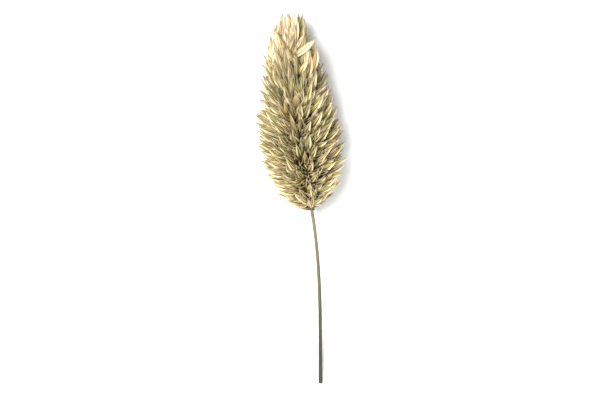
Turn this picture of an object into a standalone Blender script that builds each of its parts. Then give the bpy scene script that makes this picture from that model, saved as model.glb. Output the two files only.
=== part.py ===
"""Canary grass seed head on its cut stem, laid down on its side.

One dense oval head of keeled, two-pointed spikelets stands round a slim core, and the round
stem enters the core's base. The object lies along +Y with the cut end of the stem first, and
rests on the pressed side of the head and on the stem's end. Lengths are in metres, +Z is up,
and the origin is at the middle of the underside of the object's box.
"""

import math
import random
from collections import namedtuple

import bmesh
import bpy
from mathutils import Matrix, Vector

MM = 0.001

# Route of the stem and the head's axis. Seen from above the head points up the page, along +Y.
STEM_RADIUS = 0.45 * MM
STEM_END = Vector((0, 0, STEM_RADIUS))
HEAD_BASE = Vector((-2.2 * MM, 41.2 * MM, 6.3 * MM))
HEAD_TIP = Vector((-6.8 * MM, 87.2 * MM, 7.0 * MM))
STEM_END_WAY = Vector((-0.01, 1, 0.22))
HEAD_BASE_WAY = Vector((-0.18, 1, 0.10))
HEAD_TIP_WAY = Vector((0.02, 1, -0.02))

# Outline of the head, to the spikelets' tips. Stations are shares of its length from its base.
HEAD_LENGTH = (HEAD_TIP - HEAD_BASE).length
HEAD_RADIUS = 9.8 * MM
WIDEST_AT = 0.38
LOWER_ROUNDING = (2.2, 0.56)
UPPER_ROUNDING = (1.15, 0.58)

# Spikelets: how many, where their tips lie, and how far they lean out from the axis.
SPIKELETS = 190
LOWEST_TIP = 0.04
HIGHEST_TIP = 0.99
GOLDEN_ANGLE = math.pi * (3 - math.sqrt(5))
LEAN_STATIONS = (0.04, 0.10, 0.18, 0.30, 0.45, 0.60, 0.75, 0.90, 1.00)
LEAN_DEGREES = (70, 67, 76, 68, 58, 46, 34, 20, 5)
LENGTH_STATIONS = (0.04, 0.10, 0.30, 1.00)
LENGTHS = (5.2 * MM, 7.2 * MM, 7.9 * MM, 9.0 * MM)
WIDTH_SHARE = 0.215
HALF_THICKNESS = 0.75 * MM
BOW = 0.07

# How far each spikelet may stray from the rule. Angles are in degrees, shares of the value they change.
SEED = 4217
AZIMUTH_STRAY = 9
STATION_STRAY = 0.012
REACH_STRAY = 0.05
LEAN_STRAY = 6
ROLL_SPREAD = 24
ROLL_LIMIT = 50
LENGTH_STRAY = 0.08

# Shape of one spikelet, as shares of its length and of its half width.
RING_STATIONS = (0.32, 0.62)
RING_WIDTHS = (0.80, 1.00)
POINTS = ((1.00, 0.46), (0.94, -0.46))
NOTCH_AT = 0.80

# Core that carries the spikelets, and the blind hole in its base that takes the stem.
CORE_SHARE = 0.46
CORE_REACH = 0.88
CORE_BASE_RADIUS = 1.4 * MM
CORE_SIDES = 10
CORE_RINGS = 9
SOCKET_DEPTH = 2.6 * MM
CLEARANCE = 0.3 * MM
SOCKET_SIDES = 12

# Stem: its radius at the head as a share of that at the cut end, and its faces.
STEM_TAPER = 0.82
STEM_POINTS = 24
STEM_SIDE_STEPS = 2

# Steps in which the outline's area is added up, to spread the spikelets over it.
AREA_STEPS = 400

# Height at which what reaches down begins to bend, to lie flat on the surface.
PRESS = 0.1 * MM

Spikelet = namedtuple("Spikelet", "station azimuth reach lean roll length")


def clear_scene():
    """Empties the scene."""
    for obj in list(bpy.data.objects):
        bpy.data.objects.remove(obj)


def finish_of(name, colour, roughness):
    """A plain material of one colour."""
    material = bpy.data.materials.new(name)
    material.use_nodes = True
    shader = material.node_tree.nodes["Principled BSDF"]
    shader.inputs["Base Color"].default_value = (*colour, 1)
    shader.inputs["Roughness"].default_value = roughness
    shader.inputs["Metallic"].default_value = 0
    return material


def object_of(name, mesh, collection=None):
    """A new object that holds a bmesh's faces."""
    data = bpy.data.meshes.new(name)
    mesh.to_mesh(data)
    mesh.free()
    obj = bpy.data.objects.new(name, data)
    (collection or bpy.context.scene.collection).objects.link(obj)
    return obj


def curve_between(start, start_way, end, end_way):
    """Point and tangent of a cubic that leaves start along start_way and meets end along end_way."""
    third = (end - start).length / 3
    first = start + start_way.normalized() * third
    second = end - end_way.normalized() * third

    def point(t):
        u = 1 - t
        return start * u**3 + first * 3 * u * u * t + second * 3 * u * t * t + end * t**3

    def way(t):
        u = 1 - t
        slope = (first - start) * u * u + (second - first) * 2 * u * t + (end - second) * t * t
        return slope.normalized()

    return point, way


STEM_LINE = curve_between(STEM_END, STEM_END_WAY, HEAD_BASE, HEAD_BASE_WAY)
HEAD_LINE = curve_between(HEAD_BASE, HEAD_BASE_WAY, HEAD_TIP, HEAD_TIP_WAY)


def axis_frame(station):
    """Point of the head's axis at a station, with the ways along it, up and across."""
    point, way = HEAD_LINE
    along = way(station)
    up = (Vector((0, 0, 1)) - along * along.z).normalized()
    return point(station), along, up, along.cross(up)


def outline_radius(station):
    """Radius of the head at its spikelets' tips."""
    if station < WIDEST_AT:
        power, rounding = LOWER_ROUNDING
        away = (WIDEST_AT - station) / WIDEST_AT
    else:
        power, rounding = UPPER_ROUNDING
        away = (station - WIDEST_AT) / (1 - WIDEST_AT)
    return HEAD_RADIUS * (1 - min(away, 1) ** power) ** rounding


def read_off(value, stations, values):
    """The value at a station, read off straight lines between those given."""
    for low, high, first, last in zip(stations, stations[1:], values, values[1:]):
        if value <= high:
            share = (max(value, low) - low) / (high - low)
            return first + (last - first) * share
    return values[-1]


def tip_stations():
    """Stations of the spikelets' tips, spread evenly over the area of the outline."""
    reach = HIGHEST_TIP - LOWEST_TIP
    places = [LOWEST_TIP + reach * k / AREA_STEPS for k in range(AREA_STEPS + 1)]
    covered = [0.0]
    for low, high in zip(places, places[1:]):
        narrow, wide = outline_radius(low), outline_radius(high)
        slant = math.hypot((high - low) * HEAD_LENGTH, wide - narrow)
        covered.append(covered[-1] + slant * (narrow + wide))
    shares = [(k + 0.5) / SPIKELETS for k in range(SPIKELETS)]
    return [read_off(share * covered[-1], covered, places) for share in shares]


def spikelet_rule():
    """Place and size of every spikelet from the base up, a golden angle apart."""
    draw = random.Random(SEED)

    def stray(most):
        return draw.uniform(-most, most)

    made = []
    for index, tip in enumerate(tip_stations()):
        azimuth = index * GOLDEN_ANGLE + math.radians(stray(AZIMUTH_STRAY))
        station = tip + stray(STATION_STRAY)
        reach = 1 + stray(REACH_STRAY)
        lean = read_off(station, LEAN_STATIONS, LEAN_DEGREES) + stray(LEAN_STRAY)
        roll = max(-ROLL_LIMIT, min(ROLL_LIMIT, draw.gauss(0, ROLL_SPREAD)))
        length = read_off(station, LENGTH_STATIONS, LENGTHS) * (1 + stray(LENGTH_STRAY))
        made.append(
            Spikelet(station, azimuth, reach, math.radians(lean), math.radians(roll), length)
        )
    return made


def pressed(point):
    """The point, or where it lies once the surface under the head has pressed it up."""
    if point.z < PRESS:
        point.z = max(point.z + PRESS, 0) ** 2 / (4 * PRESS)
    return point


def spikelet_place(spikelet):
    """A function that takes shares of a spikelet's length, half width and half thickness."""
    half_width = WIDTH_SHARE * spikelet.length
    centre, along, up, across = axis_frame(spikelet.station)
    outward = up * math.cos(spikelet.azimuth) + across * math.sin(spikelet.azimuth)
    way = along * math.cos(spikelet.lean) + outward * math.sin(spikelet.lean)
    back = outward * math.cos(spikelet.lean) - along * math.sin(spikelet.lean)
    tip = centre + outward * outline_radius(spikelet.station) * spikelet.reach
    root = tip - way * spikelet.length
    turn = Matrix.Rotation(spikelet.roll, 3, way)
    wide = turn @ back
    thick = wide.cross(way)

    def place(share):
        bow = 4 * share.x * (1 - share.x) * BOW * spikelet.length
        point = root + way * share.x * spikelet.length + back * bow
        point += wide * share.y * half_width + thick * share.z * HALF_THICKNESS
        return pressed(point)

    return place


def add_spikelet(name, spikelet, collection):
    """One closed spikelet: a pointed root, two four-cornered sections and two keeled points."""
    mesh = bmesh.new()
    root = mesh.verts.new((0, 0, 0))
    rings = [
        [
            mesh.verts.new((station, y, z))
            for y, z in ((width, 0), (0, 1), (-width, 0), (0, -1))
        ]
        for station, width in zip(RING_STATIONS, RING_WIDTHS)
    ]
    low, wide = rings
    outer, inner = (mesh.verts.new((reach, offset, 0)) for reach, offset in POINTS)
    notch = mesh.verts.new((NOTCH_AT, 0, 0))
    for k in range(4):
        after = (k + 1) % 4
        mesh.faces.new((root, low[after], low[k]))
        mesh.faces.new((low[k], low[after], wide[after], wide[k]))
    for side in (wide[1], wide[3]):
        for ends in ((wide[0], outer), (outer, notch), (notch, inner), (inner, wide[2])):
            mesh.faces.new((*ends, side))
    place = spikelet_place(spikelet)
    for vert in mesh.verts:
        vert.co = place(vert.co.copy())
    bmesh.ops.triangulate(mesh, faces=mesh.faces[:])
    bmesh.ops.recalc_face_normals(mesh, faces=mesh.faces[:])
    return object_of(name, mesh, collection)


def core_radius(station):
    """Radius of the core, which is narrow at its base and ends short of the head's tip."""
    return max(CORE_SHARE * outline_radius(station / CORE_REACH), CORE_BASE_RADIUS * (1 - station))


def make_core(name):
    """The core that the spikelets stand on, as rings along the head's axis."""
    mesh = bmesh.new()
    before = None
    for k in range(CORE_RINGS):
        station = CORE_REACH * k / (CORE_RINGS - 1)
        centre, along, up, across = axis_frame(station)
        turn = Matrix((up, across, along)).transposed().to_4x4()
        ring = bmesh.ops.create_circle(
            mesh,
            segments=CORE_SIDES,
            radius=core_radius(station),
            matrix=Matrix.Translation(centre) @ turn,
        )["verts"]
        edges = list({edge for vert in ring for edge in vert.link_edges})
        if before:
            bmesh.ops.bridge_loops(mesh, edges=before + edges)
        before = edges
    bmesh.ops.holes_fill(mesh, edges=mesh.edges[:])
    bmesh.ops.recalc_face_normals(mesh, faces=mesh.faces[:])
    return object_of(name, mesh)


def make_socket_cutter(name):
    """What cuts the blind hole for the stem: a straight pin from below the core's base."""
    centre, along, up, across = axis_frame(0)
    turn = Matrix((up, across, along)).transposed().to_4x4()
    mesh = bmesh.new()
    bmesh.ops.create_cone(
        mesh,
        cap_ends=True,
        segments=SOCKET_SIDES,
        radius1=STEM_RADIUS + CLEARANCE,
        radius2=STEM_RADIUS + CLEARANCE,
        depth=2 * SOCKET_DEPTH,
        matrix=Matrix.Translation(centre) @ turn,
    )
    return object_of(name, mesh)


def apply_boolean(obj, operation, other=None, collection=None):
    """Joins or cuts obj for good, and removes what was used for it."""
    modifier = obj.modifiers.new("Boolean", "BOOLEAN")
    modifier.operation = operation
    modifier.solver = "MANIFOLD"
    used = [other] if other else list(collection.objects)
    if collection:
        modifier.operand_type = "COLLECTION"
        modifier.collection = collection
    else:
        modifier.object = other
    bpy.context.view_layer.update()
    graph = bpy.context.evaluated_depsgraph_get()
    made = bpy.data.meshes.new_from_object(obj.evaluated_get(graph))
    obj.modifiers.clear()
    obj.data = made
    for item in used:
        bpy.data.objects.remove(item)


def make_head():
    """The seed head: every spikelet joined to the core, with the stem's hole cut in its base."""
    head = make_core("seed_head")
    collection = bpy.data.collections.new("spikelets")
    bpy.context.scene.collection.children.link(collection)
    for index, spikelet in enumerate(spikelet_rule()):
        add_spikelet(f"spikelet_{index}", spikelet, collection)
    apply_boolean(head, "UNION", collection=collection)
    bpy.data.collections.remove(collection)
    apply_boolean(head, "DIFFERENCE", other=make_socket_cutter("stem_hole"))
    head.data.materials.clear()
    head.data.materials.append(finish_of("dry_glumes", (0.43, 0.36, 0.20), 0.75))
    return head


def make_stem():
    """The round stem, from its cut end on the surface to a little way inside the core."""
    curve = bpy.data.curves.new("stem", "CURVE")
    curve.dimensions = "3D"
    curve.bevel_depth = STEM_RADIUS
    curve.bevel_resolution = STEM_SIDE_STEPS
    curve.use_fill_caps = True
    spline = curve.splines.new("POLY")
    point, way = STEM_LINE
    inside = HEAD_BASE + way(1) * (SOCKET_DEPTH - CLEARANCE)
    route = [point(k / (STEM_POINTS - 2)) for k in range(STEM_POINTS - 1)] + [inside]
    spline.points.add(len(route) - 1)
    for index, (place, knot) in enumerate(zip(route, spline.points)):
        knot.co = (*place, 1)
        knot.radius = 1 - (1 - STEM_TAPER) * index / (len(route) - 1)
    curve.materials.append(finish_of("dry_stem", (0.26, 0.26, 0.15), 0.6))
    stem = bpy.data.objects.new("stem", curve)
    bpy.context.scene.collection.objects.link(stem)
    return stem


def corners_of(objects):
    """Lowest and highest corner of some objects as the viewport shows them."""
    bpy.context.view_layer.update()
    graph = bpy.context.evaluated_depsgraph_get()
    points = [vert.co for obj in objects for vert in obj.evaluated_get(graph).to_mesh().vertices]
    return [Vector(pick(p[k] for p in points) for k in range(3)) for pick in (min, max)]


def main():
    """Builds the head and the stem, and brings the origin under the middle of the object."""
    clear_scene()
    parts = [make_head(), make_stem()]
    low, high = corners_of(parts)
    shift = Matrix.Translation((-(low.x + high.x) / 2, -(low.y + high.y) / 2, -low.z))
    for part in parts:
        part.data.transform(shift)


if __name__ == "__main__":
    main()
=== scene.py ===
"""Canary grass seed head on its cut stem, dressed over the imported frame.

The head is a dense oval of flat spikelets, set a golden angle apart round a slim middle stalk. Each
spikelet is two boat-shaped glumes, folded along a winged keel, with one hard floret between them.
What lies under the head is pressed flat on the surface. Lengths are in metres, +Y runs from the
stem's cut end to the head's tip, and +Z is up.
"""

import logging
import math
import random
from dataclasses import dataclass, field
from enum import Enum
from typing import Any, Iterable, Sequence

import bmesh
import bpy
from mathutils import Matrix, Vector


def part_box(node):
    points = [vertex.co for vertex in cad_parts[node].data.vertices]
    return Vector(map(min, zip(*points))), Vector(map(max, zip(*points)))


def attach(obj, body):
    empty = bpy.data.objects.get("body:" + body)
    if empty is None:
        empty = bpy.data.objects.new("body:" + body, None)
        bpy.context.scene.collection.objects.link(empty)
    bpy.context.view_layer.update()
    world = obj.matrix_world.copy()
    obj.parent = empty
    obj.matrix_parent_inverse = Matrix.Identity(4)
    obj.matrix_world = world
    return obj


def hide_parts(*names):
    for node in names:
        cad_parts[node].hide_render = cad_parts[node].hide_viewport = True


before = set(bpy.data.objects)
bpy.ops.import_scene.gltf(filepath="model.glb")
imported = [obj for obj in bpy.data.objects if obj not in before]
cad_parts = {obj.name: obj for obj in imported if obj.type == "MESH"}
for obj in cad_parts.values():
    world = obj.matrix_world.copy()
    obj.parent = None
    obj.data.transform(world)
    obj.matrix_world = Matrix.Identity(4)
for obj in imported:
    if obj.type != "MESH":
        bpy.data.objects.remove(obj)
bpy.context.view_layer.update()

LOG = logging.getLogger("seed_head")
MM = 0.001
UP = Vector((0, 0, 1))
BODY = "root"

Colour = tuple[float, float, float]
Pair = tuple[float, float]


class Node(Enum):
    """Solids of the frame that the pieces stand for."""

    HEAD = "seed_head"
    STEM = "stem"


class Slot(Enum):
    """Material slots of the record."""

    GLUMES = "dry_glumes"
    STEM = "dry_stem"


class Keel(Enum):
    """Which of a spikelet's two glumes: its keel looks to the head's tip or to its base."""

    TIPWARD = 1
    BASEWARD = -1


# Shared tools


@dataclass(frozen=True)
class Profile:
    """Values at rising places, with straight lines between them."""

    places: Sequence[float]
    values: Sequence[float]

    def at(self, place: float) -> float:
        """Reads the profile off.

        Args:
            place: Where to read it.

        Returns:
            The value there, which stays the same past either end.
        """
        stretches = zip(self.places, self.places[1:], self.values, self.values[1:])
        for low, high, first, last in stretches:
            if place <= high:
                share = (max(place, low) - low) / (high - low)
                return first + (last - first) * share
        return self.values[-1]


def frame_matrix(centre: Vector, up: Vector, across: Vector, along: Vector) -> Matrix:
    """Matrix that carries X, Y and Z to the ways up, across and along, at a centre."""
    return Matrix.Translation(centre) @ Matrix((up, across, along)).transposed().to_4x4()


def finished_piece(
    name: str,
    mesh: bmesh.types.BMesh,
    finishes: Sequence[bpy.types.Material],
    sharp: float,
    node: Node,
) -> bpy.types.Object:
    """Turns a bmesh into a piece of the part, riding on its body.

    Args:
        name: Name of the piece.
        mesh: Its finished shape, which is freed.
        finishes: Its materials, in the order of the faces' material numbers.
        sharp: Angle in degrees past which an edge is drawn sharp.
        node: Solid of the frame that it stands for.

    Returns:
        The piece's object, at the origin.
    """
    data = bpy.data.meshes.new(name)
    mesh.to_mesh(data)
    mesh.free()
    for finish in finishes:
        data.materials.append(finish)
    data.shade_smooth()
    data.set_sharp_from_angle(angle=math.radians(sharp))
    piece = bpy.data.objects.new(name, data)
    bpy.context.scene.collection.objects.link(piece)
    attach(piece, BODY)
    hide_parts(node.value)
    LOG.info("%s: %d faces", name, len(data.polygons))
    return piece


def ringed_body(
    mesh: bmesh.types.BMesh, places: Iterable[tuple[Matrix, float]], sides: int
) -> list[list[bmesh.types.BMEdge]]:
    """Lofts a round body through rings.

    Args:
        mesh: Mesh that the body is added to.
        places: Matrix and radius of each ring, from the first to the last.
        sides: Sides of each ring.

    Returns:
        The edges of each ring.
    """
    rings: list[list[bmesh.types.BMEdge]] = []
    for place, radius in places:
        made = bmesh.ops.create_circle(mesh, segments=sides, radius=radius, matrix=place)
        rings.append(list({edge for vert in made["verts"] for edge in vert.link_edges}))
    for before, after in zip(rings, rings[1:]):
        bmesh.ops.bridge_loops(mesh, edges=before + after)
    return rings


def close_body(mesh: bmesh.types.BMesh) -> None:
    """Fills a lofted body's two ends and turns its faces outwards."""
    bmesh.ops.holes_fill(mesh, edges=mesh.edges[:])
    bmesh.ops.recalc_face_normals(mesh, faces=mesh.faces[:])


# Shader sums and nodes


class Wire:
    """A number or colour on its way between nodes, with the signs of plain sums."""

    def __init__(self, board: "Board", socket: bpy.types.NodeSocket) -> None:
        """Keeps the board that the wire lies on and the socket that it comes from."""
        self.board = board
        self.socket = socket

    def sum(self, operation: str, first: Any, second: Any) -> "Wire":
        """Wire from one Math node with this operation on two values or wires."""
        return self.board.node("ShaderNodeMath", {"operation": operation}, {0: first, 1: second})

    def __add__(self, other: Any) -> "Wire":
        """This plus the other."""
        return self.sum("ADD", self, other)

    def __radd__(self, other: Any) -> "Wire":
        """The other plus this."""
        return self.sum("ADD", other, self)

    def __sub__(self, other: Any) -> "Wire":
        """This less the other."""
        return self.sum("SUBTRACT", self, other)

    def __rsub__(self, other: Any) -> "Wire":
        """The other less this."""
        return self.sum("SUBTRACT", other, self)

    def __mul__(self, other: Any) -> "Wire":
        """This times the other."""
        return self.sum("MULTIPLY", self, other)

    def __rmul__(self, other: Any) -> "Wire":
        """The other times this."""
        return self.sum("MULTIPLY", other, self)

    def __abs__(self) -> "Wire":
        """This without its sign."""
        return self.sum("ABSOLUTE", self, 0.0)

    def fade(self, start: float, end: float) -> "Wire":
        """Steps smoothly from 0 to 1 between two values of this.

        Args:
            start: Value of this where the step is 0.
            end: Value of this where the step is 1, above start or below it.

        Returns:
            Wire of the step, which stays 0 or 1 past either end.
        """
        ends = {"From Min": start, "From Max": end, "To Min": 0.0, "To Max": 1.0}
        if start > end:
            ends = {"From Min": end, "From Max": start, "To Min": 1.0, "To Max": 0.0}
        kind = {"interpolation_type": "SMOOTHSTEP", "clamp": True}
        return self.board.node("ShaderNodeMapRange", kind, {"Value": self, **ends})

    def band(self, middle: float, half: float) -> "Wire":
        """Wire that is 1 where this is at the middle and 0 from half that far away on."""
        return abs(self - middle).fade(half, 0.0)


class Board:
    """Node tree of one material."""

    def __init__(self, name: str) -> None:
        """Starts a material with its shader.

        Args:
            name: Name of the material.
        """
        self.material = bpy.data.materials.new(name)
        self.material.use_nodes = True
        self.tree = self.material.node_tree
        self.shader = self.tree.nodes["Principled BSDF"]

    def node(
        self,
        kind: str,
        settings: dict[str, Any] | None = None,
        values: dict[str | int, Any] | None = None,
        output: str | int = 0,
    ) -> Wire:
        """Adds one node.

        Args:
            kind: Type of the node.
            settings: Its settings, set first. Stops are the places and colours of a ramp.
            values: Values or wires for its inputs, by name or number.
            output: Name or number of the output that the wire starts from.

        Returns:
            Wire from that output.
        """
        made = self.tree.nodes.new(kind)
        for key, value in (settings or {}).items():
            if key == "stops":
                self.set_stops(made.color_ramp, value)
            else:
                setattr(made, key, value)
        for key, value in (values or {}).items():
            self.feed(made.inputs[key], value)
        return Wire(self, made.outputs[output])

    def set_stops(self, ramp: bpy.types.ColorRamp, stops: Sequence[tuple[float, Colour]]) -> None:
        """Gives a ramp its stops.

        Args:
            ramp: The ramp of a new node.
            stops: Place and colour of each stop.
        """
        while len(ramp.elements) < len(stops):
            ramp.elements.new(1.0)
        for element, (place, colour) in zip(ramp.elements, stops):
            element.position = place
            element.color = (*colour, 1.0)

    def feed(self, socket: bpy.types.NodeSocket, value: Any) -> None:
        """Links a wire to a socket, or sets the socket's own value.

        Args:
            socket: Input of a node.
            value: Wire, colour, vector or number.
        """
        if isinstance(value, Wire):
            self.tree.links.new(value.socket, socket)
        elif socket.type == "RGBA":
            socket.default_value = (*value, 1.0)
        else:
            socket.default_value = value

    def mix(self, share: Any, first: Any, second: Any, blend: str = "MIX") -> Wire:
        """Colour between two colours, by a share or a wire."""
        kind = {"data_type": "RGBA", "blend_type": blend, "clamp_result": True}
        return self.node("ShaderNodeMix", kind, {0: share, 6: first, 7: second}, output=2)

    def reading(self, name: str) -> Wire:
        """Number that the mesh carries under a name."""
        kind = {"attribute_type": "GEOMETRY", "attribute_name": name}
        return self.node("ShaderNodeAttribute", kind, output="Fac")

    def places(self, across: float, along: float) -> Wire:
        """Object coordinates in cells to the metre, across and along the head."""
        found = self.node("ShaderNodeTexCoord", output="Object")
        return self.node("ShaderNodeMapping", {}, {"Vector": found, "Scale": (across, along, across)})

    def joined(self, x: Wire, y: Wire, z: Wire) -> Wire:
        """Coordinates from three numbers."""
        return self.node("ShaderNodeCombineXYZ", {}, {"X": x, "Y": y, "Z": z})

    def noise(self, at: Wire, detail: float, rough: float = 0.5) -> Wire:
        """Noise from 0 to 1 at some coordinates."""
        values = {"Vector": at, "Scale": 1.0, "Detail": detail, "Roughness": rough}
        return self.node("ShaderNodeTexNoise", {}, values)

    def relief(self, height: Wire, depth: float, strength: float) -> Wire:
        """Normal of a surface that rises by a depth in metres where the height is 1."""
        values = {"Height": height, "Distance": depth, "Strength": strength}
        return self.node("ShaderNodeBump", {}, values)

    def finish(self, **values: Any) -> bpy.types.Material:
        """Feeds the shader.

        Args:
            values: Value or wire for each of its inputs, by name with _ for a blank.

        Returns:
            The finished material.
        """
        for key, value in values.items():
            self.feed(self.shader.inputs[key.replace("_", " ")], value)
        return self.material


def tone(red: int, green: int, blue: int) -> Colour:
    """Colour for a socket from the numbers, 0 to 255, that it shows on a screen."""
    parts = (value / 255 for value in (red, green, blue))
    return tuple(x / 12.92 if x <= 0.04045 else ((x + 0.055) / 1.055) ** 2.4 for x in parts)


# Finishes


@dataclass(frozen=True)
class Stripe:
    """Stripe along a glume, on both flanks.

    Attributes:
        middle: Its place from the keel, 0, to the margin, 1.
        half: Its half width on the same measure.
        share: How strongly it shows, from 0 to 1.
    """

    middle: float
    half: float
    share: float


@dataclass(frozen=True)
class GlumeFinish:
    """Papery glume: cream wing and margins, dark green nerves, straw flank, grey tip, and a dark root
    that is partly its own browner base and partly painted shade deep inside the head.

    Each edge gives the places where a colour begins and where it is whole, from the keel or along.
    """

    wing: Colour = tone(243, 229, 185)
    nerve: Colour = tone(84, 68, 12)
    # Dark root colour: partly the glume's own browner base, partly painted shade deep inside the
    # head.
    root: Colour = tone(82, 66, 0)
    point: Colour = tone(138, 120, 106)
    tan: Colour = tone(197, 162, 114)
    green: Colour = tone(148, 148, 92)
    flanks: tuple[tuple[float, Colour], ...] = (
        (0.00, tone(222, 203, 154)),
        (0.13, tone(192, 176, 120)),
        (0.32, tone(152, 136, 72)),
        (0.55, tone(174, 157, 92)),
        (0.74, tone(194, 177, 118)),
        (0.95, tone(219, 200, 168)),
    )
    nerves: tuple[Stripe, ...] = (Stripe(0.46, 0.14, 0.95), Stripe(0.80, 0.11, 0.80))
    gap: Stripe = Stripe(0.63, 0.11, 0.45)
    wing_edge: Pair = (0.36, 0.26)
    margin_edge: Pair = (0.88, 0.98)
    root_shade_edge: Pair = (0.62, 0.10)
    point_edge: Pair = (0.76, 1.0)
    cells: float = 900
    gloss: float = 0.2

    def material(self) -> bpy.types.Material:
        """Makes the material, which reads the places that each glume carries.

        Returns:
            The material.
        """
        board = Board("papery_glume")
        across, along = board.reading("across"), board.reading("along")
        shade, tint = board.reading("shade"), board.reading("tint")
        station = board.reading("station")
        grain = board.noise(board.places(self.cells, self.cells), 3.0)
        fibre = board.noise(board.joined(across * 9.0, along * 1.6, shade * 31.0), 3.0, 0.6)
        from_keel = abs(across)
        wandering = from_keel + (fibre - 0.5) * 0.06

        colour = board.node("ShaderNodeValToRGB", {"stops": self.flanks}, {"Fac": station})
        colour = board.mix(tint.fade(0.1, 1.0), colour, self.tan)
        colour = board.mix(tint.fade(-0.1, -1.0), colour, self.green)
        pale = wandering.band(self.gap.middle, self.gap.half)
        colour = board.mix(pale * self.gap.share, colour, self.wing)
        drawn = along.fade(1.0, 0.80) * (1.0 - station.fade(0.35, 1.0) * 0.55)
        height = fibre * 0.6
        for nerve in self.nerves:
            line = wandering.band(nerve.middle, nerve.half) * nerve.share
            colour = board.mix(line * drawn, colour, self.nerve)
            height = height + line
        colour = board.mix(from_keel.fade(*self.margin_edge) * 0.7, colour, self.wing)
        colour = board.mix(wandering.fade(*self.wing_edge) * 0.95, colour, self.wing)

        # Painted shade deep in the head: the dark root colour, partly the glume's own browner base,
        # reaches further up the glumes in the lower middle of the head and is weaker near its tip.
        lower_shade_run = station.band(0.31, 0.20) * 0.16
        root_shade_share = 0.95 - station.fade(0.65, 0.95) * 0.35
        colour = board.mix((along - lower_shade_run).fade(*self.root_shade_edge) * root_shade_share, colour, self.root)
        pointed = 0.15 + station.fade(0.20, 0.70) * 0.60
        colour = board.mix(along.fade(*self.point_edge) * pointed, colour, self.point)
        light = 0.50 + grain * 0.20 + fibre * 0.30 + shade * 0.40
        grey = board.node("ShaderNodeCombineColor", {}, {0: light, 1: light, 2: light})
        return board.finish(
            Base_Color=board.mix(1.0, colour, grey, "MULTIPLY"),
            Roughness=0.50 + grain * 0.25,
            Specular_IOR_Level=self.gloss,
            Normal=board.relief(height, 0.04 * MM, 0.6),
        )


@dataclass(frozen=True)
class FloretFinish:
    """Hard floret: a smooth tan grain husk with faint lines and a dark seam, paler at its tip."""

    husk: Colour = tone(174, 148, 104)
    deep: Colour = tone(122, 96, 54)
    pale: Colour = tone(194, 170, 128)
    cells: float = 700
    seam: float = 0.05
    seam_half: float = 0.16

    def material(self) -> bpy.types.Material:
        """Makes the material, which reads the places that each floret carries.

        Returns:
            The material.
        """
        board = Board("floret_husk")
        along, shade, side = board.reading("along"), board.reading("shade"), board.reading("side")
        grain = board.noise(board.places(self.cells, self.cells), 3.0)
        drawn = board.noise(board.joined(side * 11.0, along * 0.9, shade * 31.0), 2.0)
        grain = grain * 0.4 + drawn * 0.6
        lines = grain.fade(0.36, 0.66)
        seam = (side + grain * 0.1).band(self.seam, self.seam_half)
        colour = board.mix(lines * 0.75 + shade * 0.15, self.husk, self.deep)
        colour = board.mix(seam * 0.7, colour, self.deep)
        return board.finish(
            Base_Color=board.mix(along.fade(0.6, 1.0) * 0.6, colour, self.pale),
            Roughness=0.32 + grain * 0.2,
            Normal=board.relief(lines, 0.03 * MM, 0.5),
        )


@dataclass(frozen=True)
class StalkFinish:
    """Middle stalk deep in the head: dull dark olive with rough brown patches. The colours are partly
    the stalk's own and partly painted shade, darkened to stand for the shade between the spikelets.
    """

    # Both colours are darker than the stalk's own, as painted shade in the gaps between spikelets.
    olive: Colour = tone(84, 68, 16)
    brown: Colour = tone(54, 38, 8)
    cells: float = 600
    gloss: float = 0.1

    def material(self) -> bpy.types.Material:
        """Makes the material, patterned by place.

        Returns:
            The material.
        """
        board = Board("middle_stalk")
        patches = board.noise(board.places(self.cells, self.cells), 4.0, 0.7)
        return board.finish(
            # Painted shade: the dark olive and brown stand for the shade deep inside the head.
            Base_Color=board.mix(patches.fade(0.35, 0.65), self.olive, self.brown),
            Roughness=0.7 + patches * 0.2,
            Specular_IOR_Level=self.gloss,
            Normal=board.relief(patches, 0.2 * MM, 0.8),
        )


@dataclass(frozen=True)
class StemFinish:
    """Dry straw: grey-green with fine darker ridges, paler towards the head."""

    dark: Colour = tone(54, 53, 28)
    pale: Colour = tone(136, 134, 98)
    ridge: Colour = tone(44, 42, 20)
    pith: Colour = tone(222, 206, 166)
    dark_to: float = -38 * MM
    pale_from: float = 0.0

    def material(self) -> bpy.types.Material:
        """Makes the straw's material, patterned by place.

        Returns:
            The material.
        """
        board = Board("dry_straw")
        where = board.node("ShaderNodeTexCoord", output="Object")
        height = board.node("ShaderNodeSeparateXYZ", {}, {"Vector": where}, output="Y")
        streaks = board.noise(board.places(5200, 90), 2.0, 0.6)
        clouds = board.noise(board.places(500, 160), 3.0)
        rise = height.fade(self.dark_to, self.pale_from) * 0.75 + (clouds - 0.25) * 0.25
        colour = board.mix(rise, self.dark, self.pale)
        return board.finish(
            Base_Color=board.mix(streaks.fade(0.50, 0.72) * 0.6, colour, self.ridge),
            Roughness=0.42 + clouds * 0.25,
            Normal=board.relief(streaks, 0.03 * MM, 0.7),
        )

    def cut(self) -> bpy.types.Material:
        """Makes the material of the pale pith that shows at the cut.

        Returns:
            The material.
        """
        board = Board("cut_pith")
        pores = board.noise(board.places(6000, 6000), 2.0)
        return board.finish(
            Base_Color=board.mix(pores.fade(0.40, 0.75), self.pith, self.ridge),
            Roughness=0.8 + pores * 0.1,
            Normal=board.relief(pores, 0.03 * MM, 0.5),
        )


# Form of the head


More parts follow.
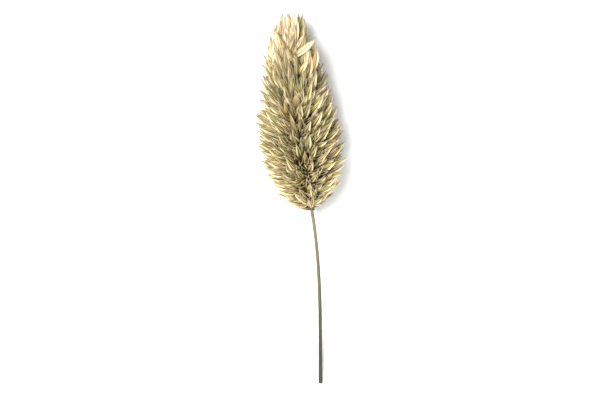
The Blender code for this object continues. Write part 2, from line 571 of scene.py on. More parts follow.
@dataclass(frozen=True)
class Route:
    """Smooth run between two places, which leaves and arrives along given ways."""

    start: Vector
    start_way: Vector
    end: Vector
    end_way: Vector

    def span(self) -> float:
        """Straight distance between the run's two ends."""
        return (self.end - self.start).length

    def knots(self) -> tuple[Vector, Vector, Vector, Vector]:
        """Finds the places that shape the run.

        Returns:
            Its two ends, with the two knots between them.
        """
        third = self.span() / 3
        first = self.start + self.start_way.normalized() * third
        second = self.end - self.end_way.normalized() * third
        return self.start, first, second, self.end

    def point(self, t: float) -> Vector:
        """Finds a point of the run.

        Args:
            t: Share of the run at which it lies.

        Returns:
            The point.
        """
        a, b, c, d = self.knots()
        u = 1 - t
        return a * u**3 + b * 3 * u * u * t + c * 3 * u * t * t + d * t**3

    def way(self, t: float) -> Vector:
        """Finds the way of the run at a point.

        Args:
            t: Share of the run at which the point lies.

        Returns:
            The way, one long.
        """
        a, b, c, d = self.knots()
        u = 1 - t
        return ((b - a) * u * u + (c - b) * 2 * u * t + (d - c) * t * t).normalized()

    def square(self, t: float) -> tuple[Vector, Vector, Vector, Vector]:
        """Sets a square on the run.

        Args:
            t: Share of the run at which it stands.

        Returns:
            Its point, with the ways up, across and along the run.
        """
        along = self.way(t)
        up = (UP - along * along.z).normalized()
        return self.point(t), up, along.cross(up), along


STEM_RADIUS = 0.45 * MM
HEAD_BASE = Vector((-2.2 * MM, 41.2 * MM, 6.3 * MM))
HEAD_BASE_WAY = Vector((-0.18, 1, 0.10))
HEAD_TIP = Vector((-6.8 * MM, 87.2 * MM, 7.0 * MM))
HEAD_ROUTE = Route(HEAD_BASE, HEAD_BASE_WAY, HEAD_TIP, Vector((0.02, 1, -0.02)))
STEM_ROUTE = Route(Vector((0, 0, STEM_RADIUS)), Vector((-0.01, 1, 0.22)), HEAD_BASE, HEAD_BASE_WAY)


@dataclass(frozen=True)
class Seat:
    """Where one spikelet stands."""

    root: Vector
    way: Vector
    back: Vector
    wide: Vector
    thick: Vector
    length: float
    half_width: float
    bow: float

    def point(self, along: float, wide: float, thick: float) -> Vector:
        """Finds a point of the spikelet.

        Args:
            along: Length along it from its root.
            wide: Length across its width from its middle.
            thick: Length across its thickness from its middle.

        Returns:
            The point, bowed with the spikelet.
        """
        share = along / self.length
        bow = 4 * share * (1 - share) * self.bow * self.length
        return self.root + self.way * along + self.back * bow + self.wide * wide + self.thick * thick


@dataclass(frozen=True)
class Spikelet:
    """One spikelet of the head, by the rule that also gives the frame's solids.

    Attributes:
        station: Share of the head's length at which its tip lies.
        azimuth: Turn round the axis, in radians.
        reach: Share of the outline's radius that its tip reaches.
        lean: Lean out from the axis, in radians.
        roll: Turn about its own length, in radians.
        length: Length from root to tip.
        swing: Turn of its root to one side about its tip, in radians.
    """

    station: float
    azimuth: float
    reach: float
    lean: float
    roll: float
    length: float
    swing: float = 0.0


@dataclass(frozen=True)
class GlumeHabit:
    """How one glume has dried.

    Attributes:
        open: Turn away from its partner, in radians.
        twist: Turn about its length at its tip, in radians.
        bend: Sideways bend of its tip, as a share of its length.
        shade: Lightness, from 0 to 1.
        tint: From -1, green, through 0 to 1, tan.
        drawn_in: How much of an open glume's width draws it in lengthwise.
    """

    open: float
    twist: float
    bend: float
    shade: float
    tint: float
    drawn_in: float = 0.3

    def dried(self, x: float, y: float, z: float, along: float, length: float) -> Sequence[float]:
        """Carries a point of the fresh glume to where it has dried.

        Args:
            x: Its place along the spikelet.
            y: Its place across the width.
            z: Its place across the thickness.
            along: Share of the glume's length at which it lies.
            length: Length of the spikelet.

        Returns:
            The three places of the dried point.
        """
        turn = self.twist * along
        y, z = y * math.cos(turn) - z * math.sin(turn), y * math.sin(turn) + z * math.cos(turn)
        z += self.bend * along * along * length
        inward = y * math.sin(self.open) * self.drawn_in
        return x * math.cos(self.open) - inward, y + x * math.sin(self.open) * along, z


@dataclass(frozen=True)
class Sight:
    """One spikelet that stands out on the upper side, by where its tip is seen from above.

    Attributes:
        x: Place to the right of the stem's cut end, in millimetres.
        y: Place along from the cut end, in millimetres.
        lean: Lean out from the axis, in degrees.
        roll: Turn about its own length, in degrees.
        length: Length from root to tip, in millimetres.
        reach: Share of the outline's radius that its tip reaches.
        gape: How far each glume turns away from its partner, in degrees.
        shade: Lightness, from 0 to 1 for most.
        tint: From -1, green, through 0 to 1, tan.
        grain: Size of its floret against the others.
        swing: Turn of its root to the left about its tip, in degrees.
    """

    x: float
    y: float
    lean: float
    roll: float
    length: float
    reach: float
    gape: float
    shade: float
    tint: float
    grain: float = 1.0
    swing: float = 0.0

    def habit(self) -> GlumeHabit:
        """How both its glumes have dried."""
        return GlumeHabit(math.radians(self.gape), 0.0, 0.0, self.shade, self.tint)


SIGHTS = (
    Sight(-5.7, 66.9, 60, 82, 7.4, 1.10, 17, 0.9, 0.2, 1.6),
    Sight(-10.2, 65.4, 54, -60, 6.6, 1.06, 15, 0.7, 0.5, 1.45),
    Sight(-2.2, 80.8, 34, 10, 8.8, 1.30, 8, 1.15, -0.1, 1.0, -30),
    Sight(-1.9, 78.0, 14, 40, 7.8, 1.20, 2, 0.3, 1.0),
    Sight(-4.6, 75.8, 42, 35, 6.6, 1.10, 14, 1.4, -0.2),
    Sight(-4.2, 71.8, 36, -20, 7.0, 1.08, 11, 1.0, -1.0),
    Sight(0.9, 72.3, 44, 10, 7.6, 1.12, 3, -0.9, -0.6),
    Sight(-0.9, 66.6, 58, 45, 8.0, 1.08, 6, 1.3, 0.0),
    Sight(-12.0, 49.4, 84, 10, 6.6, 1.06, 2, 0.7, 1.0),
    Sight(-14.9, 61.3, 58, 15, 7.8, 0.99, 3, 1.0, 0.0),
    Sight(-14.4, 63.3, 54, -20, 7.8, 0.97, 3, 0.8, -0.2),
    Sight(-14.3, 59.4, 62, 30, 7.8, 0.98, 2, 0.9, 0.3),
    Sight(-6.7, 86.2, 4, 40, 7.6, 1.10, 5, 1.1, 0.6),
)


@dataclass(frozen=True)
class LateHabit:
    """How the smaller, later spikelets stand. Angles are in degrees and profiles by station."""

    count: int = 460
    tries: int = 24
    lowness: float = 1.35
    reach: Pair = (0.80, 0.98)
    length: float = 0.90
    spread: Profile = Profile((0.40, 0.52, 0.75, 0.92), (0, 10, 10, 0))
    rise: Profile = Profile((0.10, 0.24, 0.42, 0.60), (6, 18, 18, 0))
    sway: Profile = Profile((0.2, 0.6), (18, 8))
    roll: Profile = Profile((0.3, 0.7), (55, 20))
    swing: Profile = Profile((0.2, 0.6), (20, 13))


@dataclass(frozen=True)
class BasalHabit:
    """How the short spikelets stand that close the head's base round the stem."""

    count: int = 13
    stations: Pair = (0.010, 0.032)
    stray: float = 0.3
    reach: Pair = (0.95, 1.15)
    leans: Pair = (84, 112)
    roll: float = 35
    length: float = 3.9 * MM
    lengths: Pair = (0.85, 1.15)
    dried: GlumeHabit = GlumeHabit(math.radians(5), 0.1, 0.06, 0.55, 1.0)


@dataclass
class HeadForm:
    """Oval outline of the head and the rule that spreads the spikelets over it.

    A station is a share of the head's length from its base up. Strays are the most by which a draw
    changes a value, angles are in degrees, and profiles go by station.
    """

    radius: float = 9.8 * MM
    widest_at: float = 0.38
    lower_rounding: Pair = (2.2, 0.56)
    upper_rounding: Pair = (1.15, 0.58)
    spikelets: int = 190
    lowest_tip: float = 0.04
    highest_tip: float = 0.99
    golden_angle: float = math.pi * (3 - math.sqrt(5))
    leans: Profile = Profile(
        (0.04, 0.10, 0.18, 0.30, 0.45, 0.60, 0.75, 0.90, 1.00),
        (70, 67, 76, 68, 58, 46, 34, 20, 5),
    )
    lengths: Profile = Profile((0.04, 0.10, 0.30, 1.00), (5.2 * MM, 7.2 * MM, 7.9 * MM, 9.0 * MM))
    width_share: float = 0.215
    half_thickness: float = 0.75 * MM
    bow: float = 0.07
    seed: int = 4217
    azimuth_stray: float = 9
    station_stray: float = 0.012
    reach_stray: float = 0.05
    lean_stray: float = 6
    roll_spread: float = 24
    roll_limit: float = 50
    length_stray: float = 0.08
    area_steps: int = 400
    sight_steps: int = 30
    press: float = 0.1 * MM
    probes: tuple[tuple[float, float, float], ...] = (
        (0.32, 0.8, 0),
        (0.32, -0.8, 0),
        (0.32, 0, 1),
        (0.32, 0, -1),
        (0.62, 1, 0),
        (0.62, -1, 0),
        (0.62, 0, 1),
        (0.62, 0, -1),
        (1.0, 0.46, 0),
        (0.94, -0.46, 0),
    )
    late: LateHabit = LateHabit()
    basal: BasalHabit = BasalHabit()
    shift: Vector = field(default_factory=Vector)

    def outline(self, station: float) -> float:
        """Finds the radius of the head at its spikelets' tips.

        Args:
            station: Where on the head.

        Returns:
            The radius there.
        """
        if station < self.widest_at:
            power, rounding = self.lower_rounding
            away = (self.widest_at - station) / self.widest_at
        else:
            power, rounding = self.upper_rounding
            away = (station - self.widest_at) / (1 - self.widest_at)
        return self.radius * (1 - min(away, 1) ** power) ** rounding

    def tip_stations(self, shares: Sequence[float]) -> list[float]:
        """Spreads tips evenly over the area of the outline.

        Args:
            shares: Share of the area below each tip.

        Returns:
            Station of each tip.
        """
        length = HEAD_ROUTE.span()
        reach = self.highest_tip - self.lowest_tip
        steps = self.area_steps
        places = [self.lowest_tip + reach * k / steps for k in range(steps + 1)]
        covered = [0.0]
        for low, high in zip(places, places[1:]):
            narrow, wide = self.outline(low), self.outline(high)
            slant = math.hypot((high - low) * length, wide - narrow)
            covered.append(covered[-1] + slant * (narrow + wide))
        station = Profile(covered, places)
        return [station.at(share * covered[-1]) for share in shares]

    def rule(self) -> list[Spikelet]:
        """Draws the first spikelets, which are the frame's, a golden angle apart.

        Returns:
            The spikelets from the base up.
        """
        draw = random.Random(self.seed)
        shares = [(k + 0.5) / self.spikelets for k in range(self.spikelets)]
        made = []
        for index, tip in enumerate(self.tip_stations(shares)):
            azimuth = index * self.golden_angle
            azimuth += math.radians(draw.uniform(-self.azimuth_stray, self.azimuth_stray))
            station = tip + draw.uniform(-self.station_stray, self.station_stray)
            reach = 1 + draw.uniform(-self.reach_stray, self.reach_stray)
            lean = self.leans.at(station) + draw.uniform(-self.lean_stray, self.lean_stray)
            roll = max(-self.roll_limit, min(self.roll_limit, draw.gauss(0, self.roll_spread)))
            length = self.lengths.at(station)
            length *= 1 + draw.uniform(-self.length_stray, self.length_stray)
            lean, roll = math.radians(lean), math.radians(roll)
            made.append(Spikelet(station, azimuth, reach, lean, roll, length))
        return made

    def outward(self, spikelet: Spikelet) -> Vector:
        """Way straight out from the axis to a spikelet's tip."""
        _, up, across, _ = HEAD_ROUTE.square(spikelet.station)
        return up * math.cos(spikelet.azimuth) + across * math.sin(spikelet.azimuth)

    def tip(self, spikelet: Spikelet) -> Vector:
        """Where a spikelet's tip lies."""
        reach = self.outward(spikelet) * self.outline(spikelet.station) * spikelet.reach
        return HEAD_ROUTE.point(spikelet.station) + reach

    def gap(self, spikelet: Spikelet, tips: Sequence[Vector]) -> float:
        """Distance from a spikelet's tip to the nearest of some tips."""
        place = self.tip(spikelet)
        return min((place - tip).length for tip in tips)

    def late_one(self, station: float, draw: random.Random) -> Spikelet:
        """Draws one smaller, later spikelet.

        Args:
            station: Station of its tip.
            draw: What the strays are drawn from.

        Returns:
            The spikelet.
        """
        late = self.late
        azimuth = draw.uniform(0, 2 * math.pi)
        lean = self.leans.at(station) + late.spread.at(station)
        lean += late.rise.at(station) * max(math.cos(azimuth), 0) ** 2
        sway = late.sway.at(station)
        return Spikelet(
            station=station,
            azimuth=azimuth,
            reach=draw.uniform(*late.reach),
            lean=math.radians(lean + draw.uniform(-sway, sway)),
            roll=math.radians(draw.gauss(0, late.roll.at(station))),
            length=self.lengths.at(station) * late.length,
            swing=math.radians(draw.gauss(0, late.swing.at(station))),
        )

    def late_ones(self, first: Sequence[Spikelet]) -> list[Spikelet]:
        """Draws the later spikelets, each in the widest gap of those tried.

        Args:
            first: The spikelets that stand already.

        Returns:
            The later spikelets.
        """
        draw = random.Random(self.seed + 1)
        tips = [self.tip(spikelet) for spikelet in first]
        tries = self.late.tries
        shares = [draw.random() ** self.late.lowness for _ in range(self.late.count * tries)]
        stations = self.tip_stations(shares)
        made = []
        for start in range(0, len(stations), tries):
            tried = [self.late_one(station, draw) for station in stations[start : start + tries]]
            gaps = [self.gap(spikelet, tips) for spikelet in tried]
            made.append(tried[gaps.index(max(gaps))])
            tips.append(self.tip(made[-1]))
        return made

    def basal_ones(self) -> list[Spikelet]:
        """Draws the short spikelets that close the head's base.

        Returns:
            The spikelets, once round the stem.
        """
        draw = random.Random(self.seed + 2)
        basal = self.basal
        turn = 2 * math.pi
        return [
            Spikelet(
                station=draw.uniform(*basal.stations),
                azimuth=turn * (k + draw.uniform(-basal.stray, basal.stray)) / basal.count,
                reach=draw.uniform(*basal.reach),
                lean=math.radians(draw.uniform(*basal.leans)),
                roll=math.radians(draw.gauss(0, basal.roll)),
                length=basal.length * draw.uniform(*basal.lengths),
            )
            for k in range(basal.count)
        ]

    def spikelet_under(self, sight: Sight) -> Spikelet:
        """Brings a spikelet of the upper side under a place seen from above.

        Args:
            sight: The place, and what the spikelet looks like.

        Returns:
            The spikelet.
        """
        station = 0.5
        x, y = sight.x * MM, sight.y * MM
        lean, roll, swing = map(math.radians, (sight.lean, sight.roll, sight.swing))
        for _ in range(self.sight_steps):
            centre, _, across, _ = HEAD_ROUTE.square(station)
            side = (x - centre.x) / (self.outline(station) * sight.reach * across.x)
            azimuth = math.asin(min(max(side, -1), 1))
            length = sight.length * MM
            made = Spikelet(station, azimuth, sight.reach, lean, roll, length, swing)
            miss = y - self.tip(made).y
            station = min(max(station + miss / HEAD_ROUTE.span(), 0), 1)
        return made

    def pressed(self, point: Vector) -> Vector:
        """Presses a point up where the surface under the head does.

        Args:
            point: The point, which is moved.

        Returns:
            The same point.
        """
        if point.z < self.press:
            point.z = max(point.z + self.press, 0) ** 2 / (4 * self.press)
        return point

    def seat(self, spikelet: Spikelet) -> Seat:
        """Finds where a spikelet stands on the head.

        Args:
            spikelet: The spikelet.

        Returns:
            Its place and ways.
        """
        along, outward = HEAD_ROUTE.way(spikelet.station), self.outward(spikelet)
        way = along * math.cos(spikelet.lean) + outward * math.sin(spikelet.lean)
        back = outward * math.cos(spikelet.lean) - along * math.sin(spikelet.lean)
        swing = Matrix.Rotation(spikelet.swing, 3, outward)
        way, back = swing @ way, swing @ back
        wide = Matrix.Rotation(spikelet.roll, 3, way) @ back
        return Seat(
            root=self.tip(spikelet) - way * spikelet.length,
            way=way,
            back=back,
            wide=wide,
            thick=wide.cross(way),
            length=spikelet.length,
            half_width=self.width_share * spikelet.length,
            bow=self.bow,
        )

    def fit_to_frame(self) -> None:
        """Sets the shift that brings the rule's spikelets onto the frame's head.

        The probes are the corners of the frame's solid spikelets, as shares of their length, half
        width and half thickness.
        """
        corners = [
            seat.point(x * seat.length, y * seat.half_width, z * self.half_thickness)
            for seat in map(self.seat, self.rule())
            for x, y, z in self.probes
        ]
        low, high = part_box(Node.HEAD.value)
        left = min(corner.x for corner in corners)
        far = max(corner.y for corner in corners)
        self.shift = Vector((low.x - left, high.y - far, 0))
        LOG.info("shift to the frame's head: %s", self.shift)


# Spikelets


@dataclass(frozen=True)
class GlumeRow:
    """Row across the sheet of a glume.

    Attributes:
        place: Share of the glume's length at which it lies.
        keel: Place of the keel's edge, as a share of the spikelet's half width from its middle.
        wing: Width of the wing behind that edge, as such a share.
        margin: Place of the margins, as such a share.
        belly: Depth of the flanks, as a share of the spikelet's half thickness.
        columns: Places across, from the keel's edge, 0, to the margins, 1.
        depths: Share of the belly's depth at the columns.
    """

    place: float
    keel: float
    wing: float
    margin: float
    belly: float
    columns: tuple[float, ...] = (0.0, 1 / 3, 2 / 3, 1.0)
    depths: tuple[float, ...] = (0.0, 0.16, 0.92, 0.80)

    def section(self, column: float) -> Pair:
        """Finds a point of the row.

        Args:
            column: Place across the sheet, 0 at the keel's edge and 1 or -1 at its margins.

        Returns:
            Share of the half width and share of the half thickness.
        """
        fold = self.keel - self.wing
        widths = (self.keel, fold, (fold + self.margin) / 2, self.margin)
        thick = Profile(self.columns, self.depths).at(abs(column)) * self.belly
        return Profile(self.columns, widths).at(abs(column)), math.copysign(thick, column)


@dataclass(frozen=True)
class GlumeCut:
    """Boat shape of a glume, by rows from its root to its tip."""

    rows: tuple[GlumeRow, ...] = (
        GlumeRow(0.00, 0.10, 0.03, -0.06, 0.15),
        GlumeRow(0.22, 0.58, 0.10, -0.05, 0.80),
        GlumeRow(0.46, 0.92, 0.26, 0.00, 1.00),
        GlumeRow(0.68, 1.00, 0.38, 0.05, 0.80),
        GlumeRow(0.87, 0.72, 0.28, 0.24, 0.40),
        GlumeRow(1.00, 0.42, 0.03, 0.40, 0.04),
    )
    columns: int = 6
    wall: float = 0.09 * MM
    shorter: float = 0.94
    gutter: float = 0.05
    rim: float = 0.03


@dataclass(frozen=True)
class Drying:
    """How the glumes of the head have dried. Angles are in degrees and profiles by station."""

    slim: Profile = Profile((0.0, 0.25, 0.45, 0.8), (0.70, 0.74, 0.72, 0.82))
    thin: Profile = Profile((0.0, 0.25, 0.45, 0.8), (0.85, 1.00, 0.80, 0.72))
    gape: Profile = Profile((0.05, 0.5, 0.9), (4.5, 3.5, 2.0))
    wide_gape: Profile = Profile((0.05, 0.5, 0.9), (14.0, 13.0, 6.0))
    wide_share: float = 0.18
    least_wide: float = 0.6
    closed: float = 1.5
    open_stray: float = 1.5
    twist: float = 9
    bend: float = 0.02
    tint: float = 0.35
    stray: float = 0.2

    def pair(self, station: float, draw: random.Random) -> tuple[GlumeHabit, ...]:
        """Draws how the two glumes of a spikelet have dried.

        Args:
            station: Station of the spikelet.
            draw: What the strays are drawn from.

        Returns:
            The habit of each glume.
        """
        if draw.random() < self.wide_share:
            gape = draw.uniform(self.least_wide, 1) * self.wide_gape.at(station)
        else:
            gape = abs(draw.gauss(0, self.gape.at(station)))
        shade = draw.random()
        tint = draw.gauss(0, self.tint)
        return tuple(
            GlumeHabit(
                open=math.radians(gape + draw.gauss(0, self.open_stray) - self.closed),
                twist=math.radians(draw.gauss(0, self.twist)),
                bend=draw.gauss(0, self.bend),
                shade=min(max(shade + draw.gauss(0, self.stray), 0), 1),
                tint=min(max(tint + draw.gauss(0, self.stray), -1), 1),
            )
            for _ in Keel
        )


@dataclass(frozen=True)
class FloretCut:
    """Pointed, slightly flattened grain between two glumes. Its sizes are the spikelet's shares."""

    middle: float = 0.36
    outward: float = 0.25
    half_length: float = 0.27
    half_width: float = 0.42
    half_thickness: float = 0.55
    pointed: float = 0.30
    sides: int = 8
    rows: int = 5


@dataclass
class Spikelets:
    """All spikelets of the head: thin glumes in pairs, and the florets between them."""

    form: HeadForm
    cut: GlumeCut = GlumeCut()
    drying: Drying = Drying()
    grain: FloretCut = FloretCut()
    ranks: int = 12
    seed: int = 90210
    glume: GlumeFinish = GlumeFinish()
    floret: FloretFinish = FloretFinish()

    def add_glume(
        self,
        mesh: bmesh.types.BMesh,
        number: int,
        spikelet: Spikelet,
        keel: Keel,
        habit: GlumeHabit,
    ) -> None:
        """Adds the bare sheet of one glume.

        Args:
            mesh: Mesh of its rank, with the layers that glumes carry.
            number: Number of the glume in its rank.
            spikelet: Spikelet that it belongs to.
            keel: Which of the two glumes it is.
            habit: How it has dried.
        """
        seat = self.form.seat(spikelet)
        layers = mesh.verts.layers.float
        last = len(self.cut.rows) - 1
        columns = self.cut.columns
        made = bmesh.ops.create_grid(mesh, x_segments=columns, y_segments=last, size=1)
        reach = seat.length * (1 if keel is Keel.TIPWARD else self.cut.shorter)
        slim = self.drying.slim.at(spikelet.station)
        thin = self.drying.thin.at(spikelet.station)
        for vert in made["verts"]:
            column = vert.co.x
            row = self.cut.rows[round((vert.co.y + 1) / 2 * last)]
            width, thick = row.section(column)
            x, y, z = habit.dried(
                row.place * reach,
                width * seat.half_width * slim,
                thick * self.form.half_thickness * thin,
                row.place,
                seat.length,
            )
            point = seat.point(x, keel.value * y, keel.value * z) + self.form.shift
            vert.co = self.form.pressed(point)
            vert[layers["across"]] = column
            vert[layers["along"]] = row.place
            vert[layers["shade"]] = habit.shade
            vert[layers["tint"]] = habit.tint
            vert[layers["station"]] = spikelet.station
            vert[mesh.verts.layers.int["glume"]] = number

    def add_walls(self, mesh: bmesh.types.BMesh) -> int:
        """Gives all sheets of a rank their thickness.

        Args:
            mesh: Mesh of the rank, with bare sheets only.

        Returns:
            How many points the bare sheets had, which come first in the mesh.
        """
        sheets = mesh.faces[:]
        bmesh.ops.reverse_faces(mesh, faces=sheets)
        bare = len(mesh.verts)
        place = mesh.verts.layers.float_vector.new("place")
        for vert in mesh.verts:
            vert[place] = vert.co
        bmesh.ops.solidify(mesh, geom=sheets, thickness=self.cut.wall)
        mesh.verts.index_update()
        for vert in mesh.verts:
            inward = vert.co - vert[place]
            if inward.length > 2 * self.cut.wall:
                vert.co = vert[place] + inward.normalized() * 2 * self.cut.wall
            vert.co.z = max(vert.co.z, 0.0)
        mesh.verts.layers.float_vector.remove(place)
        return bare

    def lay_out(self, mesh: bmesh.types.BMesh, glumes: int, bare: int) -> None:
        """Lays each glume of a rank out on its own cell of a map, its inner side beside its outer.

        Args:
            mesh: Mesh of the rank, with its walls.
            glumes: How many glumes it has.
            bare: How many points the bare sheets had.
        """
        chart = mesh.loops.layers.uv.new("OFBake")
        floats, cells = mesh.verts.layers.float, mesh.verts.layers.int["glume"]
        side = math.ceil(math.sqrt(glumes))
        gutter, rim = self.cut.gutter, self.cut.rim
        for face in mesh.faces:
            inner = all(loop.vert.index >= bare for loop in face.loops)
            half = 0.5 if inner else 0.0
            for loop in face.loops:
                cell = loop.vert[cells]
                across, along = loop.vert[floats["across"]], loop.vert[floats["along"]]
                u = gutter + (across + 1) / 2 * (1 - 2 * gutter)
                v = gutter + along * (1 - 2 * gutter)
                if loop.vert.index >= bare and not inner:
                    u += rim * ((across > 0.99) - (across < -0.99))
                    v += rim * ((along > 0.99) - (along < 0.01))
                loop[chart].uv = ((cell % side + half + u / 2) / side, (cell // side + v) / side)

    def add_rank(
        self,
        rank: int,
        dried: Sequence[tuple[Spikelet, tuple[GlumeHabit, ...]]],
        finish: bpy.types.Material,
    ) -> bpy.types.Object:
        """Makes the glumes of one rank, which winds up the head.

        Args:
            rank: Number of the rank, from 0.
            dried: Spikelets of the rank, with how the two glumes of each have dried.
            finish: Material of the glumes.

        Returns:
            The rank's piece.
        """
        mesh = bmesh.new()
        for name in ("across", "along", "shade", "tint", "station"):
            mesh.verts.layers.float.new(name)
        mesh.verts.layers.int.new("glume")
        number = 0
        for spikelet, pair in dried:
            for keel, habit in zip(Keel, pair):
                self.add_glume(mesh, number, spikelet, keel, habit)
                number += 1
        self.lay_out(mesh, number, self.add_walls(mesh))
        name = f"glumes_rank_{rank + 1}"
        return finished_piece(name, mesh, [finish], 50, Node.HEAD)

    def add_florets(
        self, grains: Sequence[tuple[Spikelet, float]], finish: bpy.types.Material
    ) -> bpy.types.Object:
        """Makes the florets inside the spikelets.

        Args:
            grains: Spikelets, with the size of each one's floret against the others.
            finish: Material of the florets.

        Returns:
            The florets' piece.
        """
        cut = self.grain
        ball = bmesh.new()
        bmesh.ops.create_uvsphere(ball, u_segments=cut.sides, v_segments=cut.rows, radius=1)
        shape = bpy.data.meshes.new("grain")
        ball.to_mesh(shape)
        ball.free()
        mesh = bmesh.new()
        along, shade, side = map(mesh.verts.layers.float.new, ("along", "shade", "side"))
        draw = random.Random(self.seed + 1)
        for number, (spikelet, size) in enumerate(grains):
            seat = self.form.seat(spikelet)
            lightness = draw.random()
            mesh.from_mesh(shape)
            mesh.verts.ensure_lookup_table()
            made = mesh.verts[number * len(shape.vertices) :]
            for vert in made:
                up = vert.co.z
                slim = 1 - cut.pointed * max(up, 0) ** 2
                middle = cut.middle + cut.outward * (size - 1)
                x = (middle + cut.half_length * size * up) * seat.length
                y = vert.co.x * slim * cut.half_width * seat.half_width * size
                z = vert.co.y * slim * cut.half_thickness * self.form.half_thickness * size
                vert[side] = vert.co.x
                vert[along] = (up + 1) / 2
                vert[shade] = lightness
                vert.co = self.form.pressed(seat.point(x, y, z) + self.form.shift)
        bpy.data.meshes.remove(shape)
        bmesh.ops.recalc_face_normals(mesh, faces=mesh.faces[:])
        return finished_piece("florets", mesh, [finish], 60, Node.HEAD)

    def build(self) -> None:
        """Makes every rank of glumes, and the florets."""
        first = self.form.rule()
        seen = [self.form.spikelet_under(sight) for sight in SIGHTS]
        usual = first + self.form.late_ones(first + seen)
        draw = random.Random(self.seed)
        dried = [(spikelet, self.drying.pair(spikelet.station, draw)) for spikelet in usual]
        dried += [(spikelet, (self.form.basal.dried,) * 2) for spikelet in self.form.basal_ones()]
        dried += [(spikelet, (sight.habit(),) * 2) for spikelet, sight in zip(seen, SIGHTS)]
        finish = self.glume.material()
        for rank in range(self.ranks):
            self.add_rank(rank, dried[rank :: self.ranks], finish)
        grains = [(spikelet, 1.0) for spikelet in usual]
        grains += [(spikelet, sight.grain) for spikelet, sight in zip(seen, SIGHTS)]
        self.add_florets(grains, self.floret.material())


@dataclass
class MiddleStalk:
    """Knobbly stalk and branch stubs in the middle of the head, which carry the spikelets."""

    form: HeadForm
    share: float = 0.46
    reach: float = 0.88
    base_radius: float = 1.4 * MM
    sides: int = 20
    rings: int = 34
    knobs: float = 0.45 * MM
    seed: int = 77
    finish: StalkFinish = StalkFinish()

    def radius(self, station: float) -> float:
        """Radius of the stalk with its stubs, narrow at its base."""
        least = self.base_radius * (1 - station)
        return max(self.share * self.form.outline(station / self.reach), least)

    def build(self) -> bpy.types.Object:
        """Makes the stalk as one closed, knobbly body.

        Returns:
            The stalk's piece.
        """
        mesh = bmesh.new()
        to_frame = Matrix.Translation(self.form.shift)
        places = []
        for k in range(self.rings):
            station = self.reach * k / (self.rings - 1)
            place = to_frame @ frame_matrix(*HEAD_ROUTE.square(station))
            places.append((place, self.radius(station)))
        ringed_body(mesh, places, self.sides)
        close_body(mesh)
        mesh.normal_update()
        draw = random.Random(self.seed)
        for vert in mesh.verts:
            vert.co -= vert.normal * draw.uniform(0, self.knobs)
        finish = self.finish.material()
        return finished_piece("middle_stalk", mesh, [finish], 70, Node.HEAD)


@dataclass
class Stem:
    """Thin straw that bows up from its cut end into the head."""

    form: HeadForm
    radius: float = STEM_RADIUS
    taper: float = 0.82
    past: float = 0.04
    inside: float = 2.3 * MM
    sides: int = 18
    rings: int = 60
    ridge: float = 0.025 * MM
    bore: float = 0.20 * MM
    depth: float = 0.5 * MM
    pith: float = 0.6 * MM
    finish: StemFinish = StemFinish()

    def place(self, share: float) -> Matrix:
        """Sets a ring on the straw.

        Args:
            share: Share of the straw at which it stands.

        Returns:
            Matrix of the ring.
        """
        run = share * (1 + self.past)
        centre, up, across, along = STEM_ROUTE.square(min(run, 1))
        centre = centre + along * max(run - 1, 0) / self.past * self.inside
        return frame_matrix(centre + self.form.shift, up, across, along)

    def hollow_out(self, mesh: bmesh.types.BMesh, rim: bmesh.types.BMEdge, cut: Vector) -> None:
        """Sinks the small hollow into the straw's cut and marks the pith.

        Args:
            mesh: The closed straw.
            rim: An edge of the cut.
            cut: Middle of the cut.
        """
        cap = next(face for face in rim.link_faces if len(face.verts) == self.sides)
        bmesh.ops.inset_region(mesh, faces=[cap], thickness=self.bore, use_even_offset=True)
        hollow = bmesh.ops.extrude_discrete_faces(mesh, faces=[cap])["faces"][0]
        bmesh.ops.translate(mesh, verts=hollow.verts[:], vec=STEM_ROUTE.way(0) * self.depth)
        for face in mesh.faces:
            if all((vert.co - cut).length < self.pith for vert in face.verts):
                face.material_index = 1

    def build(self) -> bpy.types.Object:
        """Makes the straw with its fine ridges and the hollow at its cut.

        Returns:
            The straw's piece.
        """
        mesh = bmesh.new()
        places = []
        for share in (k / self.rings for k in range(self.rings + 1)):
            places.append((self.place(share), self.radius * (1 - (1 - self.taper) * share)))
        rings = ringed_body(mesh, places, self.sides)
        for number, vert in enumerate(mesh.verts):
            centre = places[number // self.sides][0].translation
            if number % 2:
                vert.co += (centre - vert.co).normalized() * self.ridge
        close_body(mesh)
        self.hollow_out(mesh, rings[0][0], places[0][0].translation)
        finishes = [self.finish.material(), self.finish.cut()]
        return finished_piece("straw", mesh, finishes, 45, Node.STEM)


# Studio


@dataclass(frozen=True)
class Lamp:
    """Square light that looks at the object."""

    name: str
    place: tuple[float, float, float]
    size: float
    power: float


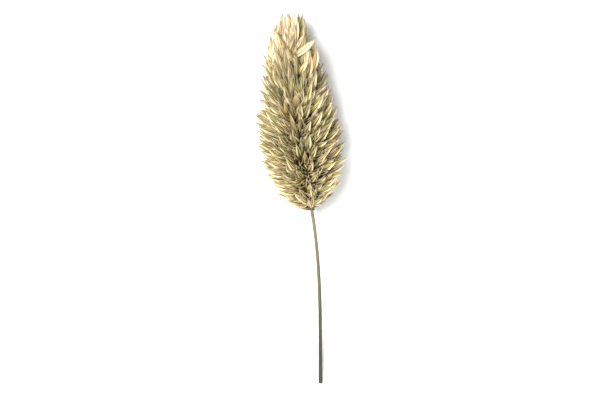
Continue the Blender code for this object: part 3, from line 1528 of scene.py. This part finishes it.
@dataclass
class Studio:
    """Pale floor, soft lights and the camera that looks down on the head."""

    floor_size: float = 0.9
    floor_drop: float = 0.02 * MM
    floor_colour: Colour = (0.95, 0.95, 0.95)
    floor_rough: float = 0.9
    lamps: tuple[Lamp, ...] = (
        Lamp("key", (-0.22, 0.08, 0.58), 0.30, 4.8),
        Lamp("fill", (0.10, -0.46, 0.46), 0.50, 2.6),
    )
    world: float = 0.36
    view_height: float = 92 * MM
    look_height: float = 8 * MM
    lens: float = 100.0
    sensor: float = 36.0
    shape: float = 600 / 400
    nearest: float = 0.01

    def make_floor(self) -> None:
        """Lays the floor just under the head."""
        mesh = bmesh.new()
        bmesh.ops.create_grid(mesh, x_segments=1, y_segments=1, size=self.floor_size / 2)
        bmesh.ops.translate(mesh, verts=mesh.verts[:], vec=(0, 0, -self.floor_drop))
        data = bpy.data.meshes.new("floor")
        mesh.to_mesh(data)
        mesh.free()
        board = Board("floor_paper")
        paper = board.finish(Base_Color=self.floor_colour, Roughness=self.floor_rough)
        data.materials.append(paper)
        floor = bpy.data.objects.new("floor", data)
        bpy.context.scene.collection.objects.link(floor)

    def hang(self, lamp: Lamp) -> None:
        """Hangs one light.

        Args:
            lamp: The light.
        """
        data = bpy.data.lights.new(lamp.name, "AREA")
        data.shape = "SQUARE"
        data.size = lamp.size
        data.energy = lamp.power
        light = bpy.data.objects.new(lamp.name, data)
        light.location = lamp.place
        way = Vector((0, 0, self.look_height)) - light.location
        light.rotation_euler = way.to_track_quat("-Z", "Y").to_euler()
        bpy.context.scene.collection.objects.link(light)

    def add_camera(self) -> None:
        """Sets the camera straight above the object."""
        data = bpy.data.cameras.new("camera")
        data.lens = self.lens
        data.sensor_width = self.sensor
        data.clip_start = self.nearest
        away = self.lens * self.view_height * self.shape / self.sensor
        camera = bpy.data.objects.new("camera", data)
        camera.location = (0, 0, self.look_height + away)
        bpy.context.scene.collection.objects.link(camera)
        bpy.context.scene.camera = camera

    def build(self) -> None:
        """Makes the floor, the lights, the surrounding light and the camera."""
        self.make_floor()
        for lamp in self.lamps:
            self.hang(lamp)
        world = bpy.data.worlds.new("studio")
        world.use_nodes = True
        background = world.node_tree.nodes["Background"]
        background.inputs["Color"].default_value = (1, 1, 1, 1)
        background.inputs["Strength"].default_value = self.world
        bpy.context.scene.world = world
        bpy.context.scene.view_settings.view_transform = "Standard"
        self.add_camera()


def main() -> None:
    """Builds the head, the stem and the studio round them."""
    logging.basicConfig(level=logging.INFO, format="%(name)s: %(message)s")
    form = HeadForm()
    form.fit_to_frame()
    Spikelets(form).build()
    MiddleStalk(form).build()
    Stem(form).build()
    Studio().build()


if __name__ == "__main__":
    main()
